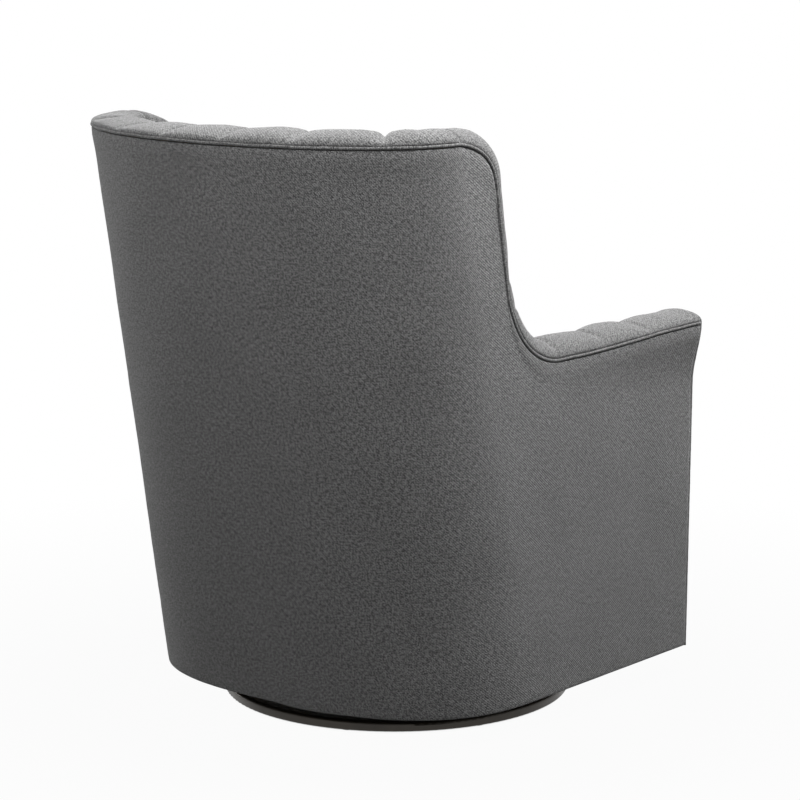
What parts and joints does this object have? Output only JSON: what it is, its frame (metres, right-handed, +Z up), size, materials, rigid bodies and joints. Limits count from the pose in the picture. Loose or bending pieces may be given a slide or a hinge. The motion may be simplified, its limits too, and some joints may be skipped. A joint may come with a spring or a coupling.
{
  "type": "swivel glider chair",
  "caption": "Barrel-backed upholstered armchair with a tufted inside, a loose seat cushion and a ring base that swivels and carries a hanging-link glide.",
  "frame": {"origin": "middle of the chair's footprint, on the floor; the swivel axis is 52 mm in front of it", "axes": "+Z up, -Y the way the sitter faces, +X to the sitter's left"},
  "size_m": [0.7346, 0.8718, 0.9745],
  "materials": {
    "bronze_paint": "satin dark bronze powder coat",
    "steel_plate": "zinc plated, satin",
    "bright_steel": "bright zinc and ground steel",
    "nylon": "matt black nylon",
    "rubber": "matt black rubber",
    "timber": "raw poplar and plywood",
    "upholstery": "heathered grey twill",
    "piping": "grey twill welt",
    "black_cloth": "black non-woven cloth",
    "spring_steel": "oiled spring steel"
  },
  "bodies": {
    "base": {"floor_pads": "rubber", "base_ring": "bronze_paint", "base_spider": "bronze_paint", "lower_race": "bright_steel", "king_pin": "bright_steel", "king_nut": "bright_steel"},
    "balls": {"ball_cage": "steel_plate", "race_balls": "bright_steel"},
    "stand": {"upper_race": "bright_steel", "pivot_bush": "nylon", "stand_plate": "steel_plate", "stand_side_left": "steel_plate", "stand_side_right": "steel_plate", "stand_bolts": "bright_steel", "upper_pivot_pins": "bright_steel", "glide_bumpers": "rubber"},
    "front_left_link": {"link_front_left": "steel_plate", "bearings_front_left": "bright_steel"},
    "front_right_link": {"link_front_right": "steel_plate", "bearings_front_right": "bright_steel"},
    "rear_left_link": {"link_rear_left": "steel_plate", "bearings_rear_left": "bright_steel"},
    "rear_right_link": {"link_rear_right": "steel_plate", "bearings_rear_right": "bright_steel"},
    "seat": {"glide_rail_left": "steel_plate", "glide_rail_right": "steel_plate", "hanger_legs_left": "steel_plate", "hanger_legs_right": "steel_plate", "lower_pivot_pins": "bright_steel", "rail_braces": "steel_plate", "rail_screws": "bright_steel", "mechanism_bearers": "timber", "seat_front_rail": "timber", "seat_rear_rail": "timber", "side_rails": "timber", "rear_sill": "timber", "front_posts": "timber", "arm_rails": "timber", "side_panels": "timber", "back_top_rail": "timber", "back_posts": "timber", "back_webbing": "black_cloth", "seat_springs": "spring_steel", "spring_clips": "steel_plate", "seat_deck": "black_cloth", "dust_cover": "black_cloth", "outside_cover": "upholstery", "inside_back": "upholstery", "inside_arm_left": "upholstery", "inside_arm_right": "upholstery", "tuft_buttons": "upholstery", "arm_front_left": "upholstery", "arm_front_right": "upholstery", "front_rail_cover": "upholstery", "edge_welt": "piping", "arm_front_welts": "piping"},
    "cushion": {"seat_cushion": "upholstery", "cushion_welts": "piping", "cushion_zip": "nylon"}
  },
  "joints": [
    {"name": "swivel", "type": "hinge", "parent": "base", "child": "stand", "pos_m": [0, -0.052, 0.04], "axis": [0, 0, 1], "continuous": true},
    {"name": "ball_roll", "type": "hinge", "parent": "base", "child": "balls", "pos_m": [0, -0.052, 0.031], "axis": [0, 0, 1], "continuous": true},
    {"name": "glide", "type": "hinge", "parent": "stand", "child": "front_left_link", "pos_m": [0.155, -0.167, 0.178], "axis": [1, 0, 0], "range_deg": [-24, 24]},
    {"name": "front_right_swing", "type": "hinge", "parent": "stand", "child": "front_right_link", "pos_m": [-0.155, -0.167, 0.178], "axis": [1, 0, 0], "range_deg": [-24, 24]},
    {"name": "rear_left_swing", "type": "hinge", "parent": "stand", "child": "rear_left_link", "pos_m": [0.155, 0.063, 0.178], "axis": [1, 0, 0], "range_deg": [-24, 24]},
    {"name": "rear_right_swing", "type": "hinge", "parent": "stand", "child": "rear_right_link", "pos_m": [-0.155, 0.063, 0.178], "axis": [1, 0, 0], "range_deg": [-24, 24]},
    {"name": "seat_level", "type": "hinge", "parent": "front_left_link", "child": "seat", "pos_m": [0.155, -0.167, 0.078], "axis": [1, 0, 0], "range_deg": [-24, 24]},
    {"name": "cushion_lift", "type": "slide", "parent": "seat", "child": "cushion", "axis": [0, 0, 1], "range_m": [0, 0.2]}
  ],
  "couplings": [
    {"joint": "ball_roll", "follows": "swivel", "ratio": 0.5},
    {"joint": "front_right_swing", "follows": "glide", "ratio": 1},
    {"joint": "rear_left_swing", "follows": "glide", "ratio": 1},
    {"joint": "rear_right_swing", "follows": "glide", "ratio": 1},
    {"joint": "seat_level", "follows": "glide", "ratio": -1}
  ]
}
